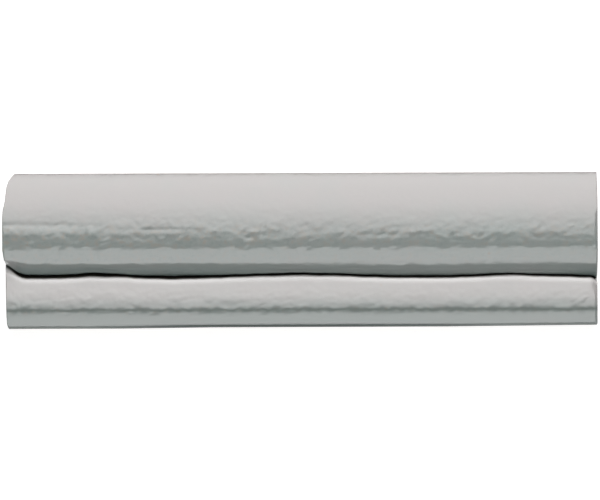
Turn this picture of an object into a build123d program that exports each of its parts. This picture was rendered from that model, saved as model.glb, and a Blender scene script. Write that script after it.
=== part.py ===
"""Glazed ceramic wall moulding: a rail with a large roll over a smaller bead, lying on its back.

X runs along the rail, +Y is the edge that points up on the wall, and Z is the projection from the wall.
The origin is the middle of the flat back. All sizes are in millimetres.
"""

import os

from build123d import *

# Overall sizes
length = 200.0
height = 52.0

# Large roll
roll_height = 33.6
roll_projection = 21.0
roll_nose_drop = 23.4
roll_top_thickness = 11.0
roll_top_radius = 3.0
lip_projection = 15.5
lip_radius = 3.0
roll_left_end_radius = 2.6
roll_right_end_radius = 0.9

# Bead under the roll, which laps up behind it
cleft_width = 1.3
cleft_floor = 11.5
bead_lap = 5.0
bead_root_projection = 14.4
bead_root_radius = 1.2
bead_projection = 18.0
bead_nose_rise = 6.3
bead_bottom_projection = 17.0
bead_bottom_radius = 1.8
bead_end_radius = 0.9

# Keying grooves along the back
key_count = 4
key_pitch = 10.0
key_width = 4.0
key_depth = 1.2
key_flank_angle = 70.0

top = height / 2
bottom = -height / 2
lip_level = top - roll_height
roll_nose_level = top - roll_nose_drop
bead_nose_level = bottom + bead_nose_rise
bead_root_level = lip_level - cleft_width
section_plane = Plane.YZ.offset(-length / 2)


def end_curves(part, side):
    """Curved edges of the rail's end face on one side: 0 is the left end, -1 the right."""
    end_face = part.faces().filter_by(Axis.X).sort_by(Axis.X)[side]
    return end_face.edges().filter_by(GeomType.CIRCLE)


# Large roll: a long upper curve and a short lower one, both upright at the nose
with BuildPart() as roll:
    with BuildSketch(section_plane) as roll_section:
        with BuildLine() as roll_outline:
            nose = (roll_nose_level, roll_projection)
            top_front = (top, roll_top_thickness)
            lip = (lip_level, lip_projection)
            TangentArc(nose, top_front, tangent=(1, 0))
            Polyline(top_front, (top, 0), (lip_level, 0), lip)
            TangentArc(nose, lip, tangent=(-1, 0))
        make_face()
        fillet(roll_section.vertices().sort_by_distance(top_front)[0], roll_top_radius)
        fillet(roll_section.vertices().sort_by_distance(lip)[0], lip_radius)
    extrude(amount=length)
    fillet(end_curves(roll, 0), roll_left_end_radius)
    fillet(end_curves(roll, -1), roll_right_end_radius)

# Bead: a low convex band that closes the cleft under the roll's lip
with BuildPart() as bead:
    with BuildSketch(section_plane) as bead_section:
        with BuildLine() as bead_outline:
            bead_nose = (bead_nose_level, bead_projection)
            bead_root = (bead_root_level, bead_root_projection)
            bottom_front = (bottom, bead_bottom_projection)
            lap_top = lip_level + bead_lap
            TangentArc(bead_nose, bead_root, tangent=(1, 0))
            Polyline(bead_root, (lip_level, cleft_floor), (lap_top, cleft_floor), (lap_top, 0))
            Polyline((lap_top, 0), (bottom, 0), bottom_front)
            TangentArc(bead_nose, bottom_front, tangent=(-1, 0))
        make_face()
        fillet(bead_section.vertices().sort_by_distance(bead_root)[0], bead_root_radius)
        fillet(bead_section.vertices().sort_by_distance(bottom_front)[0], bead_bottom_radius)
    extrude(amount=length)
    fillet(end_curves(bead, 0), bead_end_radius)
    fillet(end_curves(bead, -1), bead_end_radius)

# One fired piece, with keying grooves drawn along its back
with BuildPart() as moulding:
    add(roll.part)
    add(bead.part)
    with BuildSketch(section_plane):
        with GridLocations(key_pitch, 0, key_count, 1):
            Trapezoid(key_width, key_depth, key_flank_angle, align=(Align.CENTER, Align.MIN))
    extrude(amount=length, mode=Mode.SUBTRACT)

moulding.part.label = "moulding"
os.makedirs("parts", exist_ok=True)
export_step(moulding.part, "parts/moulding.step")
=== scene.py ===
"""Glazed ceramic wall moulding, lying on its back and seen from straight above its face.

Lengths are in millimetres until the mesh is finished, and in metres from there on.
"""

import math

import bmesh
import bpy
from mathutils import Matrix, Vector, noise


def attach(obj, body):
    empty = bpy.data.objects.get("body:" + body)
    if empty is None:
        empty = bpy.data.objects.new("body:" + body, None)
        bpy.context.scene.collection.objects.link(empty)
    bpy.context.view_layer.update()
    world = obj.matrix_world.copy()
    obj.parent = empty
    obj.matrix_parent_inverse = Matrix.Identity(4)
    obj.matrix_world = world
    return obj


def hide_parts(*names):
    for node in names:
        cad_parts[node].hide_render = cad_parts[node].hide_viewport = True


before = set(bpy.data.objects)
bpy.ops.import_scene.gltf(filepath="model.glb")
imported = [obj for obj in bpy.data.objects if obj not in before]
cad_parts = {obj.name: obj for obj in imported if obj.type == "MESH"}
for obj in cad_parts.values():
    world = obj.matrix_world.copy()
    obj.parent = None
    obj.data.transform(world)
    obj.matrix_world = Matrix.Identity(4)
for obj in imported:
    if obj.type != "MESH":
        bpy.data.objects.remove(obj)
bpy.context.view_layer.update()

MM = 0.001

# Rail
LENGTH = 200.0
HEIGHT = 52.0
DEPTH = 21.0
LEFT = -LENGTH / 2
RIGHT = LENGTH / 2
TOP = HEIGHT / 2
BOTTOM = -HEIGHT / 2
LIP_LEVEL = -7.6
LIP_FACE = 14.53
CLEFT_FLOOR = 11.5

# Section, followed from the top edge round the front: straight runs, and turns as (radius, degrees)
TOP_EDGE_RUN = 10.81
TOP_CORNER = (0.5, 44.1)
ROLL_START = (32.38, 0.15)
ROLL_UPPER = (32.38, 45.75)
ROLL_LOWER = (12.21, 51.44)
LIP = (3.0, 38.56)
LIP_RUN = 3.03
BEAD_WALL_LEAN = 21.0
BEAD_WALL_RUN = 3.2
BEAD_SHOULDER = (0.6, 45.0)
BEAD_SLOPE = (87.0, 3.0)
BEAD_UPPER = (23.6, 15.0)
BEAD_NOSE = (6.5, 14.0)
BEAD_LOWER = (25.7, 8.0)
BOTTOM_CORNER = (2.2, 74.0)
FRONT_PITCH = 0.45
EDGE_PITCH = 1.2

# Keying grooves in the back
KEY_COUNT = 4
KEY_PITCH = 10.0
KEY_WIDTH = 4.0
KEY_DEPTH = 1.2
KEY_FLANK = 0.44
BACK_PITCH = 5.0

# What counts as the back: the lands, the grooves' flanks and the grooves' floors
LAND_LEVEL = 0.05
FLANK_FACING = -0.3
FLANK_LEVEL = 2 * KEY_DEPTH
FLOOR_LEVEL = 1.05 * KEY_DEPTH
FLOOR_MARGIN = 1.0

# Slices along the rail, closer together at the two ends: (length, slices) of each zone
ARRIS_ZONE = (0.4, 4)
END_ZONE = (3.6, 10)
BODY_ZONE = (192.0, 440)

# Mesh
MERGE_DISTANCE = 0.02
END_RIM = 0.12
SHARP_ANGLE = 50.0

# From here on, a pair named as a step is a smooth step: (where it is nothing, where it is full)

# Rounded ends: (y, radius) round the front, and one radius near the back
LEFT_RADIUS = ((-26, 0.3), (-8, 0.3), (0, 0.6), (8, 0.4), (12, 0.15), (26, 0.15))
RIGHT_RADIUS = (
    (-26, 0.4), (-23, 0.9), (-15, 0.9), (-12.5, 0.4), (0, 0.4), (2, 0.9), (11, 0.9), (14, 0.25), (26, 0.15),
)
BACK_ARRIS = 0.3
END_ROUND_STEP = (0.5, 4.0)

# The front takes the glaze's relief and the cleft's shifts: a step in z
FACE_STEP = (4.0, 9.0)

# The left end is not cut square. It falls back from the rail's full length by (y, setback)
LEFT_SETBACK = (
    (-26.0, 1.9), (-25.3, 1.6), (-24.2, 1.4), (-22.2, 1.25), (-16.8, 1.15), (-10.0, 0.93), (-5.4, 0.75),
    (-3.4, 0.5), (0.0, 0.0), (10.0, 0.0), (13.5, 0.1), (16.8, 0.8), (20.2, 1.1), (21.9, 1.3), (23.6, 1.9),
    (25.2, 3.0), (26.0, 3.8),
)
LEFT_SETBACK_REACH = 9.0

# The bottom edge does not run quite true: (x, rise)
BOTTOM_WANDER = ((-100, -0.35), (-60, -0.35), (-30, -0.05), (50, 0.0), (100, 0.4))
BOTTOM_WANDER_STEP = (-21.0, -25.5)

# The cleft wanders along the rail: (x, rise), with a ripple of (length, height) on top
CLEFT_WANDER = (
    (-100, -0.6), (-86, -0.55), (-79, -0.4), (-71, 0.2), (-62, 0.0), (-56, -0.6), (-48, -0.7), (-42, -1.0),
    (-37, -0.75), (-27, -0.65), (-11, -0.05), (1, 0.2), (13, -0.1), (22, -0.55), (36, -0.95), (50, -0.85),
    (58, -0.65), (64, -0.25), (71, -0.1), (80, -0.45), (91, -0.65), (96, -0.95), (100, -1.0),
)
CLEFT_RIPPLE = (5.5, 0.14)
# It is drawn together by (x, distance)
CLEFT_CLOSING = (
    (-100, 0.45), (-94, 0.05), (-66, 0.0), (-58, 0.4), (-52, 0.15), (-38, 0.1), (-22, 0.38), (20, 0.42),
    (60, 0.45), (74, 0.58), (88, 0.42), (94, 0.45), (100, 0.6),
)
# It climbs at the left end and dips at the right end
CLEFT_LEFT_RUN = 6.3
CLEFT_LEFT_SLOPE = 0.62
CLEFT_LEFT_BEND = 3.0
CLEFT_RIGHT_RUN = 1.9
CLEFT_RIGHT_SLOPE = 0.8
CLEFT_RIGHT_BEND = 0.9
# The roll's lip follows it, and slides along the slope of its own underside
LIP_SLOPE = 1.0
LIP_MARGIN = 0.01
LEAST_UPRIGHT = 0.1
ROLL_FALL = 0.8
ROLL_STRAY = 1.6
ROLL_PULL = 4.1
ROLL_PULL_BEND = 0.8
ROLL_DIP_SHARE = 0.5
# The bead's wall and upper slope follow it too
CLEFT_FAR_STEP = (0.1, 1.0)
BEAD_PULL = 6.0
BEAD_FALL_STEP = (-18.0, -12.0)
WANDER_FALL = 0.42
CLIMB_FALL = 0.2

# Glaze relief: (across x, across y, depth) of each size of ripple, and of the small bumps with creases
# between them
RIPPLES = ((7.0, 5.0, 0.09), (3.2, 2.4, 0.08), (1.5, 1.2, 0.06))
BUMPS = (3.4, 2.5, 0.12)
BUMP_SINK = 0.2
RELIEF_SLANT = 0.2
# How much of the ripples and lumps shows across the section: (y, share)
CALM = (
    (-26, 0.0), (-22, 0.25), (-20, 0.8), (-16, 1.0), (-12, 0.4), (-3, 0.6), (0, 1.0), (8, 1.0), (12, 0.5),
    (15, 0.2), (24, 0.1), (26, 0.0),
)
# How much of the ripples shows along the rail: (x, share)
RELIEF_SHARE = ((-100, 1.0), (-12, 1.0), (8, 0.84), (100, 0.84))
# Lumps and dents in the glaze: (x, y, half width, half height, depth)
LUMPS = (
    (-54.3, 6.2, 1.6, 0.8, 0.14),
    (-28.6, 6.5, 1.1, 0.75, 0.20),
    (-15.6, 6.0, 1.7, 0.8, 0.17),
    (-15.6, 2.9, 3.5, 0.7, 0.09),
    (-10.8, 9.6, 1.8, 1.4, 0.06),
    (-18.9, 6.0, 1.0, 0.8, -0.12),
    (37.6, 5.8, 0.95, 0.75, 0.21),
    (40.0, 6.3, 0.9, 0.75, 0.16),
    (60.5, 8.6, 2.0, 1.5, 0.07),
    (66.0, 6.2, 2.2, 1.2, 0.08),
    (78.0, 7.4, 1.9, 1.3, 0.09),
    (85.0, 6.4, 2.1, 1.3, 0.09),
    (85.6, 9.9, 1.1, 0.8, -0.07),
    (-84.0, 6.3, 26.0, 2.2, 0.08),
    (-88.0, 8.6, 20.0, 0.95, -0.16),
    (-68.0, -4.2, 45.0, 1.1, 0.11),
    (40.0, -4.2, 45.0, 1.1, -0.12),
    (-47.0, 7.0, 10.0, 0.6, -0.10),
    (25.0, 5.2, 8.0, 0.6, -0.05),
    (5.0, -14.0, 3.0, 1.2, 0.06),
    (-92.0, -18.6, 2.5, 1.0, 0.06),
    (-53.0, -18.8, 2.4, 1.0, 0.06),
    (19.0, -18.3, 1.7, 0.9, 0.10),
    (23.4, -17.6, 1.4, 0.9, 0.07),
    (29.0, -18.4, 1.6, 0.9, 0.10),
    (38.0, -18.5, 1.8, 0.9, 0.10),
    (48.0, -18.5, 1.6, 0.9, 0.09),
)
LUMP_REACH = 3.0

# Where the glaze stops on the edges and ends, in a ragged line of waves: (length, height, noise seed)
GLAZE_STOP = 3.6
GLAZE_WRAP = 3.0
GLAZE_THICKNESS = 0.18
GLAZE_RAGGED = ((9.0, 1.3, 3.1), (2.6, 0.5, 9.4))
GLAZE_BORDER_STEP = (0.3, -0.3)
BARE_BACK = -6.0

# What the material reads at each point of the surface
MASKS = (
    "glaze_reach", "facing_shade_tint", "bead_painted_light", "underside_painted_shade", "mottling", "cleft", "arris", "nose_painted_shade", "bottom_painted_shade",
)
# Painted shade tint: slopes that face down the wall turn greener, while those facing up keep the warmer grey
SHADE_TINT_STEP = (0.5, -0.05)
# Painted light: the front of the bead is painted paler, standing in for light the lamps leave out
BEAD_LIGHT_FRONT_STEP = (14.6, 15.1)
BEAD_LIGHT_LOWER_STEP = (-18.6, -15.0)
BEAD_LIGHT_UPPER_STEP = (-8.0, -8.8)
# A painted highlight runs along the bead's upper arris
ARRIS_HIGHLIGHT_LEVEL = -9.45
ARRIS_HIGHLIGHT_WIDTH = 0.95
ARRIS_HIGHLIGHT_FRONT_STEP = (14.5, 15.0)
# A faint painted highlight lies at the roll's lower left corner
CORNER_HIGHLIGHT_SHARE = 0.35
CORNER_HIGHLIGHT_END_STEP = (LEFT + 6, LEFT + 2)
CORNER_HIGHLIGHT_LOWER_STEP = (-7.6, -6.2)
CORNER_HIGHLIGHT_UPPER_STEP = (-2.0, -4.2)
# Painted shade under the roll, darker and greener towards the lip: (x, strength)
UNDERSIDE_SHADE = ((-100, 0.85), (-40, 0.85), (-5, 0.4), (86, 0.25), (96, 0.8), (100, 0.9))
UNDERSIDE_SHADE_UPPER_STEP = (-4.6, -6.4)
UNDERSIDE_SHADE_LOWER_STEP = (LIP_LEVEL - 0.4, LIP_LEVEL)
UNDERSIDE_SHADE_FACING_STEP = (-0.3, -0.6)
# The cleft is painted near black: painted shade
CLEFT_SHADE_LEVEL = LIP_LEVEL - 0.6
CLEFT_SHADE_WIDTH = 1.1
CLEFT_SHADE_FLOOR_STEP = (10.0, 11.0)
CLEFT_SHADE_RIM_STEP = (14.9, 14.3)
CLEFT_SHADE_END_STEP = (LEFT, LEFT + 5)
# A dark band is painted along the bead's nose, a painted dark reflection: (x, width), with a waver and a
# swell of (length, height)
NOSE_SHADE_LEVEL = -19.95
NOSE_SHADE_WIDTH = ((-100, 0.7), (55, 0.7), (70, 1.0), (100, 1.0))
NOSE_SHADE_WAVER = (2.4, 0.55)
NOSE_SHADE_SWELL = (2.2, 0.7)
# A dark line of painted shade runs along the bottom edge: (x, strength)
BOTTOM_SHADE = ((-100, 0.0), (-72, 0.0), (-58, 0.4), (-38, 1.0), (15, 1.0), (48, 0.7), (66, 0.0), (100, 0.0))
BOTTOM_SHADE_EDGE_STEP = (BOTTOM + 1.6, BOTTOM + 1.0)
BOTTOM_SHADE_FRONT_STEP = (13.6, 15.2)
# It is mottled: (x, strength), in bands of (y, half height, strength)
MOTTLED = ((-100, 1.0), (-30, 0.9), (0, 0.65), (100, 0.6))
MOTTLED_BANDS = ((4.5, 4.5, 1.0), (-2.6, 2.2, 0.6), (NOSE_SHADE_LEVEL, 1.5, 0.6))

# Colours
WARM_GREY = (0.44, 0.41, 0.40, 1)
GREEN_GREY = (0.365, 0.415, 0.395, 1)
TAN_MOTTLE = (0.44, 0.37, 0.29, 1)
GREEN_MOTTLE = (0.26, 0.32, 0.30, 1)
BROWN_SPECK = (0.40, 0.28, 0.18, 1)
DARK_CLAY = (0.50, 0.38, 0.27, 1)
PALE_CLAY = (0.66, 0.55, 0.43, 1)
WHITE = (1, 1, 1, 1)
PAPER = (0.85, 0.85, 0.85, 1)
# Painted light and shade laid over the glaze one after another: (mask, strength, colour)
MARKS = (
    ("bead_painted_light", 0.38, (0.68, 0.645, 0.63, 1)),
    ("underside_painted_shade", 0.55, (0.16, 0.25, 0.235, 1)),
    ("arris", 1.0, (0.96, 0.92, 0.91, 1)),
    ("nose_painted_shade", 0.65, (0.13, 0.165, 0.145, 1)),
    ("bottom_painted_shade", 1.0, (0.05, 0.085, 0.075, 1)),
    ("cleft", 1.0, (0.035, 0.03, 0.02, 1)),
)
GLAZE_ROUGHNESS = 0.16
CLAY_ROUGHNESS = 0.8
GLAZE_IOR = 1.6
PEEL_HEIGHT = 0.00004

# Stage, in metres
FLOOR_HALF_WIDTH = 8.0
FLOOR_LIFT = 0.8
CAMERA_HEIGHT = 2.6
CAMERA_ROLL = -0.2
CAMERA_REACH = 50.0
SENSOR_WIDTH = 36.0
SEEN_WIDTH = 0.202
SEEN_LEVEL = 0.013


def ease(low, high, value):
    """0 on low's side, 1 on high's side, and a smooth step between them."""
    t = min(1.0, max(0.0, (value - low) / (high - low)))
    return t * t * (3 - 2 * t)


def bell(value, centre, width):
    """1 at the centre, dying away over the width to either side."""
    return math.exp(-((value - centre) / width) ** 2)


def follow(stations, place):
    """The value at a place between stations, each a (place, value)."""
    for (place0, value0), (place1, value1) in zip(stations, stations[1:]):
        if place <= place1:
            break
    return value0 + (value1 - value0) * min(1.0, max(0.0, (place - place0) / (place1 - place0)))


def hinge(distance, bend):
    """0 before a bend and the distance itself past it, with the bend rounded to either side."""
    if abs(distance) < bend:
        return (distance + bend) ** 2 / (4 * bend)
    return max(0.0, distance)


def quarter_round(distance, radius):
    """How far a quarter round of that radius has fallen at a distance from its end."""
    if distance >= radius:
        return 0.0
    return radius - math.sqrt(radius * radius - (radius - distance) ** 2)


class SectionPen:
    """Draws the section in the rail's left end plane. The clay is on its left hand."""

    def __init__(self, mesh, y, z):
        self.mesh = mesh
        self.tip = mesh.verts.new((LEFT, y, z))
        self.heading = math.pi / 2

    def run(self, distance, pitch):
        steps = max(1, round(distance / pitch))
        step = Vector((0, math.cos(self.heading), math.sin(self.heading))) * distance / steps
        self.advance(step, Vector((0, 0, 0)), 0, steps)

    def turn(self, radius, degrees, pitch):
        steps = max(2, round(radius * math.radians(degrees) / pitch))
        inward = Vector((0, -math.sin(self.heading), math.cos(self.heading)))
        self.advance(Vector((0, 0, 0)), self.tip.co + inward * radius, math.radians(degrees), steps)
        self.heading += math.radians(degrees)

    def advance(self, step, centre, angle, steps):
        made = bmesh.ops.spin(
            self.mesh, geom=[self.tip], cent=centre, axis=(1, 0, 0), dvec=step, angle=angle, steps=steps
        )
        self.tip = next(g for g in made["geom_last"] if isinstance(g, bmesh.types.BMVert))


def draw_section(mesh):
    """Draws the outline: up the top edge, over the roll, into the cleft, over the bead, along the back."""
    pen = SectionPen(mesh, TOP, 0)
    pen.run(TOP_EDGE_RUN, EDGE_PITCH)
    for turn in (TOP_CORNER, ROLL_START, ROLL_UPPER, ROLL_LOWER, LIP):
        pen.turn(*turn, FRONT_PITCH)
    pen.run(LIP_RUN, FRONT_PITCH)
    pen.heading = math.radians(90 + BEAD_WALL_LEAN)
    pen.run(BEAD_WALL_RUN, FRONT_PITCH)
    for turn in (BEAD_SHOULDER, BEAD_SLOPE, BEAD_UPPER, BEAD_NOSE, BEAD_LOWER, BOTTOM_CORNER):
        pen.turn(*turn, FRONT_PITCH)
    pen.heading = math.radians(270)
    pen.run(pen.tip.co.z, EDGE_PITCH)

    land = KEY_PITCH - KEY_WIDTH
    flank = math.hypot(KEY_FLANK, KEY_DEPTH)
    flank_angle = math.atan2(KEY_DEPTH, KEY_FLANK)
    first_key = -((KEY_COUNT - 1) * KEY_PITCH + KEY_WIDTH) / 2
    pen.heading = 0
    pen.run(first_key - pen.tip.co.y, BACK_PITCH)
    for key in range(KEY_COUNT):
        pen.heading = flank_angle
        pen.run(flank, BACK_PITCH)
        pen.heading = 0
        pen.run(KEY_WIDTH - 2 * KEY_FLANK, BACK_PITCH)
        pen.heading = -flank_angle
        pen.run(flank, BACK_PITCH)
        pen.heading = 0
        pen.run(land if key < KEY_COUNT - 1 else TOP - pen.tip.co.y, BACK_PITCH)
    bmesh.ops.remove_doubles(mesh, verts=mesh.verts, dist=MERGE_DISTANCE)


def pull_rail(mesh):
    """Draws the section out along the rail and cuts it into slices."""
    rim = mesh.edges[:]
    for zone, slices in (ARRIS_ZONE, END_ZONE, BODY_ZONE, END_ZONE, ARRIS_ZONE):
        made = bmesh.ops.extrude_edge_only(mesh, edges=rim)["geom"]
        far = {g for g in made if isinstance(g, bmesh.types.BMVert)}
        bmesh.ops.translate(mesh, verts=list(far), vec=(zone, 0, 0))
        rim = [e for e in mesh.edges if e.verts[0] in far and e.verts[1] in far]
        rails = [e for e in mesh.edges if (e.verts[0] in far) != (e.verts[1] in far)]
        bmesh.ops.subdivide_edges(mesh, edges=rails, cuts=slices - 1, use_grid_fill=True)
    bmesh.ops.recalc_face_normals(mesh, faces=mesh.faces)
    mesh.normal_update()


def glaze_relief(x, y):
    """How far the glaze stands up or sinks at a point of the face."""
    depth = 0.0
    slanted = x - RELIEF_SLANT * y
    for layer, (across, up, size) in enumerate(RIPPLES):
        depth += size * noise.noise(Vector((slanted / across, y / up, 7.3 + 11 * layer)))
    across, up, size = BUMPS
    depth += size * (abs(noise.noise(Vector((slanted / across, y / up, 31.7)))) - BUMP_SINK)
    depth *= follow(RELIEF_SHARE, x)
    for lump_x, lump_y, wide, high, size in LUMPS:
        spread = ((x - lump_x) / wide) ** 2 + ((y - lump_y) / high) ** 2
        if spread < LUMP_REACH ** 2:
            depth += size * math.exp(-spread)
    return depth


def cleft_wander(x):
    """How far the cleft strays above its own level at a place along the rail."""
    length, height = CLEFT_RIPPLE
    return follow(CLEFT_WANDER, x) + height * noise.noise(Vector((x / length, 0.4, 5.2)))


def left_climb(x):
    """How far the cleft climbs at the left end."""
    return CLEFT_LEFT_SLOPE * hinge(LEFT + CLEFT_LEFT_RUN - x, CLEFT_LEFT_BEND)


def right_dip(x):
    """How far the bead's upper arris falls away at the right end."""
    return CLEFT_RIGHT_SLOPE * hinge(x - RIGHT + CLEFT_RIGHT_RUN, CLEFT_RIGHT_BEND)


def end_inset(x, y, z):
    """How far the section shrinks near the two rounded ends."""
    facing = ease(*END_ROUND_STEP, z)
    left_radius = BACK_ARRIS + (follow(LEFT_RADIUS, y) - BACK_ARRIS) * facing
    right_radius = BACK_ARRIS + (follow(RIGHT_RADIUS, y) - BACK_ARRIS) * facing
    return quarter_round(x - LEFT, left_radius) + quarter_round(RIGHT - x, right_radius)


def glaze_border(x, y, z):
    """How far a point of the edges or ends lies above the ragged line where the glaze stops."""
    ragged = 0.0
    for length, height, seed in GLAZE_RAGGED:
        ragged += height * noise.noise(Vector((x / length, y / length, seed)))
    return min(GLAZE_WRAP, z - GLAZE_STOP + ragged)


def lies_on_back(y, z, normal):
    """Whether a point belongs to the back, with its keying grooves."""
    on_flank = normal.z < FLANK_FACING and z < FLANK_LEVEL
    on_floor = z < FLOOR_LEVEL and abs(y) < TOP - FLOOR_MARGIN
    return z < LAND_LEVEL or on_flank or on_floor


def glaze_marks(x, y, z, normal):
    """How strongly the mottling, the painted shade tint, and each painted shade and painted highlight show
    at a point.
    """
    # corner and arris are painted highlights
    corner = CORNER_HIGHLIGHT_SHARE * ease(*CORNER_HIGHLIGHT_END_STEP, x)
    corner *= ease(*CORNER_HIGHLIGHT_LOWER_STEP, y) * ease(*CORNER_HIGHLIGHT_UPPER_STEP, y)
    arris = bell(y, ARRIS_HIGHLIGHT_LEVEL, ARRIS_HIGHLIGHT_WIDTH) * ease(*ARRIS_HIGHLIGHT_FRONT_STEP, z)

    # The waver and swell shape the painted dark band along the bead's nose
    waver_length, waver_height = NOSE_SHADE_WAVER
    swell_length, swell_height = NOSE_SHADE_SWELL
    waver = waver_height * noise.noise(Vector((x / waver_length, 2.2, 8.1)))
    swell = 1 + swell_height * noise.noise(Vector((x / swell_length, 4.2, 1.7)))

    # run is the painted shade on the roll's underside
    run = ease(*UNDERSIDE_SHADE_UPPER_STEP, y) * ease(*UNDERSIDE_SHADE_LOWER_STEP, y) * ease(*UNDERSIDE_SHADE_FACING_STEP, normal.y)
    # cleft is the painted shade in the cleft
    cleft = bell(y, CLEFT_SHADE_LEVEL, CLEFT_SHADE_WIDTH) * ease(*CLEFT_SHADE_END_STEP, x)
    mottling = max(strength * bell(y, level, high) for level, high, strength in MOTTLED_BANDS)
    return {
        "facing_shade_tint": ease(*SHADE_TINT_STEP, normal.y),
        "bead_painted_light": ease(*BEAD_LIGHT_FRONT_STEP, z) * ease(*BEAD_LIGHT_LOWER_STEP, y) * ease(*BEAD_LIGHT_UPPER_STEP, y),
        "underside_painted_shade": follow(UNDERSIDE_SHADE, x) * run,
        "mottling": follow(MOTTLED, x) * mottling,
        "cleft": cleft * ease(*CLEFT_SHADE_FLOOR_STEP, z) * ease(*CLEFT_SHADE_RIM_STEP, z),
        "arris": max(corner, arris),
        "nose_painted_shade": bell(y + waver, NOSE_SHADE_LEVEL, swell * follow(NOSE_SHADE_WIDTH, x)),
        "bottom_painted_shade": follow(BOTTOM_SHADE, x) * ease(*BOTTOM_SHADE_EDGE_STEP, y) * ease(*BOTTOM_SHADE_FRONT_STEP, z),
    }


def cleft_shift(x, y, z, normal):
    """How far (y, z) a point of the roll's lip, the cleft or the bead moves to follow the cleft."""
    below_lip = LIP_LEVEL - y
    wander, climb, dip, closing = cleft_wander(x), left_climb(x), right_dip(x), follow(CLEFT_CLOSING, x)
    lip_stray = wander - closing / 2 - ROLL_DIP_SHARE * dip
    face = ease(*FACE_STEP, z)
    if below_lip < -LIP_MARGIN:
        stray = face * lip_stray * bell(below_lip, 0, ROLL_STRAY)
        slope = ROLL_FALL * max(0.0, -normal.y) / max(LEAST_UPRIGHT, normal.z)
        climb_share = hinge(ROLL_PULL + below_lip, ROLL_PULL_BEND) / ROLL_PULL
        return stray + face * climb * climb_share, stray * min(LIP_SLOPE, slope)

    fade = face * bell(below_lip, 0, BEAD_PULL)
    far_side = ease(*CLEFT_FAR_STEP, below_lip)
    rise = -fade * far_side * (WANDER_FALL * wander + CLIMB_FALL * climb) * ease(*BEAD_FALL_STEP, y)
    if below_lip < LIP_MARGIN:
        rise += LIP_SLOPE * lip_stray * (z - CLEFT_FLOOR) / (LIP_FACE - CLEFT_FLOOR)
    return fade * (lip_stray + climb + far_side * (closing - (1 - ROLL_DIP_SHARE) * dip)), rise


def shape_surface(mesh):
    """Ripples the glaze, rounds the ends and lets the cleft wander, on the open tube of the rail."""
    for name in MASKS:
        mesh.verts.layers.float.new(name)
    layers = {name: mesh.verts.layers.float[name] for name in MASKS}
    for v in mesh.verts:
        x, y, z = v.co
        normal = v.normal.copy()
        on_back = lies_on_back(y, z, normal)
        reach = BARE_BACK if on_back else glaze_border(x, y, z)
        v[layers["glaze_reach"]] = reach
        for name, strength in glaze_marks(x, y, z, normal).items():
            v[layers[name]] = strength

        lift = ease(*FACE_STEP, z) * follow(CALM, y) * glaze_relief(x, y)
        if not on_back:
            lift -= GLAZE_THICKNESS * ease(*GLAZE_BORDER_STEP, reach)
            lift -= end_inset(x, y, z)
        v.co += normal * lift
        across, out = cleft_shift(x, y, z, normal)
        v.co.y += across + follow(BOTTOM_WANDER, x) * ease(*BOTTOM_WANDER_STEP, y)
        v.co.z += out
        v.co.x += follow(LEFT_SETBACK, y) * (1 - ease(0, LEFT_SETBACK_REACH, x - LEFT))


def close_ends(mesh):
    """Closes both ends with flat faces in a 1 mm grid, and works out how far down them the glaze runs."""
    layers = mesh.verts.layers.float.values()
    reach = mesh.verts.layers.float["glaze_reach"]
    shade_tint = mesh.verts.layers.float["facing_shade_tint"]
    ends = bmesh.ops.holes_fill(mesh, edges=[e for e in mesh.edges if e.is_boundary], sides=0)["faces"]
    bmesh.ops.inset_region(mesh, faces=ends, thickness=END_RIM, use_even_offset=True)
    geom = ends + [e for f in ends for e in f.edges] + [v for f in ends for v in f.verts]
    cuts = [((0, level, 0), (0, 1, 0)) for level in range(int(BOTTOM) + 1, int(TOP))]
    cuts += [((0, 0, level), (0, 0, 1)) for level in range(1, int(DEPTH))]
    for point, direction in cuts:
        geom = bmesh.ops.bisect_plane(
            mesh, geom=geom, dist=MERGE_DISTANCE, plane_co=point, plane_no=direction
        )["geom"]
    for v in {v for g in geom if isinstance(g, bmesh.types.BMFace) for v in g.verts}:
        for layer in layers:
            v[layer] = 0.0
        v[reach] = glaze_border(*v.co)
        # The ends take the full painted shade tint
        v[shade_tint] = 1.0


def make_moulding():
    """The whole rail as one closed mesh."""
    mesh = bmesh.new()
    draw_section(mesh)
    pull_rail(mesh)
    shape_surface(mesh)
    close_ends(mesh)
    bmesh.ops.recalc_face_normals(mesh, faces=mesh.faces)
    bmesh.ops.scale(mesh, vec=(MM, MM, MM), verts=mesh.verts)
    data = bpy.data.meshes.new("moulding_glazed")
    mesh.to_mesh(data)
    mesh.free()
    data.polygons.foreach_set("use_smooth", [True] * len(data.polygons))
    data.set_sharp_from_angle(angle=math.radians(SHARP_ANGLE))
    piece = bpy.data.objects.new("moulding_glazed", data)
    bpy.context.scene.collection.objects.link(piece)
    return piece


def feed(tree, socket, value):
    """Gives an input socket a plain value, or links it to the output socket that feeds it."""
    if isinstance(value, bpy.types.NodeSocket):
        tree.links.new(value, socket)
    else:
        socket.default_value = value


def place(tree, kind, settings=None, **inputs):
    """Puts a node in a tree. Each input is named as on the node, with _ for a space."""
    made = tree.nodes.new(kind)
    for name, value in (settings or {}).items():
        setattr(made, name, value)
    for name, value in inputs.items():
        feed(tree, made.inputs[name.replace("_", " ")], value)
    return made


def reckon(tree, operation, *values, clamp=False):
    """A sum worked out on two or three values."""
    made = place(tree, "ShaderNodeMath", {"operation": operation, "use_clamp": clamp})
    for socket, value in zip(made.inputs, values):
        feed(tree, socket, value)
    return made.outputs[0]


def mix_colour(tree, share, first, second):
    made = place(tree, "ShaderNodeMix", {"data_type": "RGBA"})
    for index, value in ((0, share), (6, first), (7, second)):
        feed(tree, made.inputs[index], value)
    return made.outputs[2]


def attribute(tree, name):
    return place(tree, "ShaderNodeAttribute", {"attribute_name": name}).outputs["Fac"]


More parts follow.
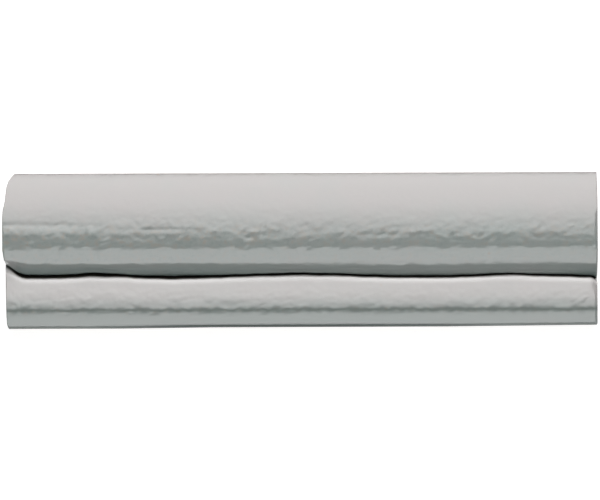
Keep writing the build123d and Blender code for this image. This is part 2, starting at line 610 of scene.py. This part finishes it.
def step_map(tree, value, low, high, to_low=0.0, to_high=1.0):
    made = place(
        tree, "ShaderNodeMapRange", {"interpolation_type": "SMOOTHSTEP"},
        Value=value, From_Min=low, From_Max=high, To_Min=to_low, To_Max=to_high,
    )
    return made.outputs["Result"]


def glaze_material():
    """Grey glaze over buff clay, tinted greener on slopes facing down as painted shade, with painted marks
    on top.
    """
    material = bpy.data.materials.new("grey_glaze")
    material.use_nodes = True
    tree = material.node_tree
    shader = tree.nodes["Principled BSDF"]
    object_place = place(tree, "ShaderNodeTexCoord").outputs["Object"]
    scale = (1 / MM, 1 / MM, 1 / MM)
    millimetres = place(tree, "ShaderNodeMapping", Vector=object_place, Scale=scale).outputs[0]

    def grain(**inputs):
        return place(tree, "ShaderNodeTexNoise", Vector=millimetres, **inputs).outputs["Fac"]

    drift = reckon(tree, "MULTIPLY_ADD", grain(Scale=0.07, Detail=3.0), 0.8, -0.4)
    # Slopes that face down turn greener, a painted shade tint, on top of a random drift in tone
    shade_and_drift = reckon(tree, "ADD", attribute(tree, "facing_shade_tint"), drift, clamp=True)
    glaze = mix_colour(tree, shade_and_drift, WARM_GREY, GREEN_GREY)

    mottle = grain(Scale=0.45, Detail=4.0, Roughness=0.65)
    patchy = attribute(tree, "mottling")
    warm = reckon(tree, "MULTIPLY", patchy, step_map(tree, mottle, 0.5, 0.66, 0, 0.55))
    cool = reckon(tree, "MULTIPLY", patchy, step_map(tree, mottle, 0.5, 0.34, 0, 0.45))
    glaze = mix_colour(tree, warm, glaze, TAN_MOTTLE)
    glaze = mix_colour(tree, cool, glaze, GREEN_MOTTLE)

    speck_cells = place(tree, "ShaderNodeTexVoronoi", Vector=millimetres, Scale=0.11).outputs
    speck_size = step_map(tree, speck_cells["Distance"], 0.03, 0.10, 0.35, 0.0)
    speck_pick = reckon(tree, "GREATER_THAN", speck_cells["Color"], 0.66)
    speck = reckon(tree, "MULTIPLY", speck_size, speck_pick)
    glaze = mix_colour(tree, speck, glaze, BROWN_SPECK)

    for name, strength, colour in MARKS:
        glaze = mix_colour(tree, reckon(tree, "MULTIPLY", attribute(tree, name), strength), glaze, colour)

    clay = mix_colour(tree, grain(Scale=1.8, Detail=6.0), DARK_CLAY, PALE_CLAY)
    glazed = step_map(tree, attribute(tree, "glaze_reach"), -0.2, 0.25)
    roughness = step_map(tree, glazed, 0.0, 1.0, CLAY_ROUGHNESS, GLAZE_ROUGHNESS)
    peel = grain(Scale=0.55, Detail=2.0)
    bump = place(tree, "ShaderNodeBump", Height=peel, Strength=1.0, Distance=PEEL_HEIGHT)
    tree.links.new(mix_colour(tree, glazed, clay, glaze), shader.inputs["Base Color"])
    tree.links.new(roughness, shader.inputs["Roughness"])
    tree.links.new(bump.outputs[0], shader.inputs["Normal"])
    shader.inputs["IOR"].default_value = GLAZE_IOR
    return material


def seen_or_reflected(tree):
    """1 where the camera or a reflection looks at a surface, and 0 where it lights something."""
    path = place(tree, "ShaderNodeLightPath").outputs
    gloss = reckon(tree, "MAXIMUM", path["Is Glossy Ray"], path["Is Transmission Ray"])
    return reckon(tree, "MAXIMUM", path["Is Camera Ray"], gloss)


def white_floor():
    """A pale floor that the camera sees as white wherever the rail throws no shade on it."""
    mesh = bmesh.new()
    bmesh.ops.create_grid(mesh, x_segments=1, y_segments=1, size=FLOOR_HALF_WIDTH)
    data = bpy.data.meshes.new("floor")
    mesh.to_mesh(data)
    mesh.free()
    floor = bpy.data.objects.new("floor", data)
    bpy.context.scene.collection.objects.link(floor)

    material = bpy.data.materials.new("white_floor")
    material.use_nodes = True
    tree = material.node_tree
    tree.nodes.remove(tree.nodes["Principled BSDF"])
    paper = place(tree, "ShaderNodeBsdfDiffuse", Color=PAPER).outputs[0]
    lift = reckon(tree, "MULTIPLY", seen_or_reflected(tree), FLOOR_LIFT)
    glow = place(tree, "ShaderNodeEmission", Strength=lift).outputs[0]
    both = place(tree, "ShaderNodeAddShader")
    tree.links.new(paper, both.inputs[0])
    tree.links.new(glow, both.inputs[1])
    tree.links.new(both.outputs[0], tree.nodes["Material Output"].inputs["Surface"])
    data.materials.append(material)


def white_world(ambient):
    """White where the camera or a reflection looks at it, and a faint even light on everything else."""
    world = bpy.data.worlds.new("studio")
    bpy.context.scene.world = world
    world.use_nodes = True
    tree = world.node_tree
    background = tree.nodes["Background"]
    background.inputs["Color"].default_value = WHITE
    strength = step_map(tree, seen_or_reflected(tree), 0.0, 1.0, ambient, 1.0)
    tree.links.new(strength, background.inputs["Strength"])


def softbox(name, lean, distance, width, depth, radiance, fade=None, lights_clay=True):
    """A white lamp panel that faces the rail. lean is its angle from straight up, towards the top edge.

    fade is two places across the panel, as shares of its depth. The panel would be dark at the first and is
    at its full strength at the second, with an even change between them.
    """
    lamp = bpy.data.lights.new(name, "AREA")
    lamp.shape = "RECTANGLE"
    lamp.size = width
    lamp.size_y = depth
    lamp.energy = radiance * math.pi * width * depth
    if fade:
        dark, full = fade
        lamp.use_nodes = True
        tree = lamp.node_tree
        across = place(tree, "ShaderNodeNewGeometry").outputs["Parametric"]
        along = place(tree, "ShaderNodeSeparateXYZ", Vector=across).outputs["Y"]
        rise = place(tree, "ShaderNodeMapRange", Value=along, From_Min=dark, From_Max=full)
        tree.links.new(rise.outputs["Result"], tree.nodes["Emission"].inputs["Strength"])
    box = bpy.data.objects.new(name, lamp)
    angle = math.radians(lean)
    box.location = (0, distance * math.sin(angle), distance * math.cos(angle))
    box.rotation_euler = (-angle, 0, 0)
    box.visible_camera = False
    box.visible_diffuse = lights_clay
    bpy.context.scene.collection.objects.link(box)


def overhead_camera():
    """Looks straight down on the face, with the rail's length just inside the picture's width."""
    camera = bpy.data.cameras.new("camera")
    camera.sensor_width = SENSOR_WIDTH
    camera.lens = SENSOR_WIDTH * (CAMERA_HEIGHT - SEEN_LEVEL) / SEEN_WIDTH
    camera.clip_end = CAMERA_REACH
    stand = bpy.data.objects.new("camera", camera)
    stand.location = (0, 0, CAMERA_HEIGHT)
    stand.rotation_euler = (0, 0, math.radians(CAMERA_ROLL))
    bpy.context.scene.collection.objects.link(stand)
    bpy.context.scene.camera = stand


moulding = make_moulding()
moulding.data.materials.append(glaze_material())
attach(moulding, "root")
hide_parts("moulding")

white_floor()
white_world(ambient=0.13)
softbox("key", lean=48, distance=1.6, width=0.8, depth=3.2, radiance=2.75, fade=(0.0, 0.19))
softbox("fill", lean=-44, distance=1.6, width=0.6, depth=1.55, radiance=0.85)
# Panels that show only as reflections in the glaze
softbox(
    "key_sheen", lean=48, distance=1.7, width=1.5, depth=3.4, radiance=2.0, fade=(0.2, 0.5),
    lights_clay=False,
)
softbox(
    "fill_sheen", lean=-43.5, distance=1.7, width=1.5, depth=1.72, radiance=2.8, fade=(3.0, 0.0),
    lights_clay=False,
)
overhead_camera()

bpy.context.scene.view_settings.view_transform = "Standard"
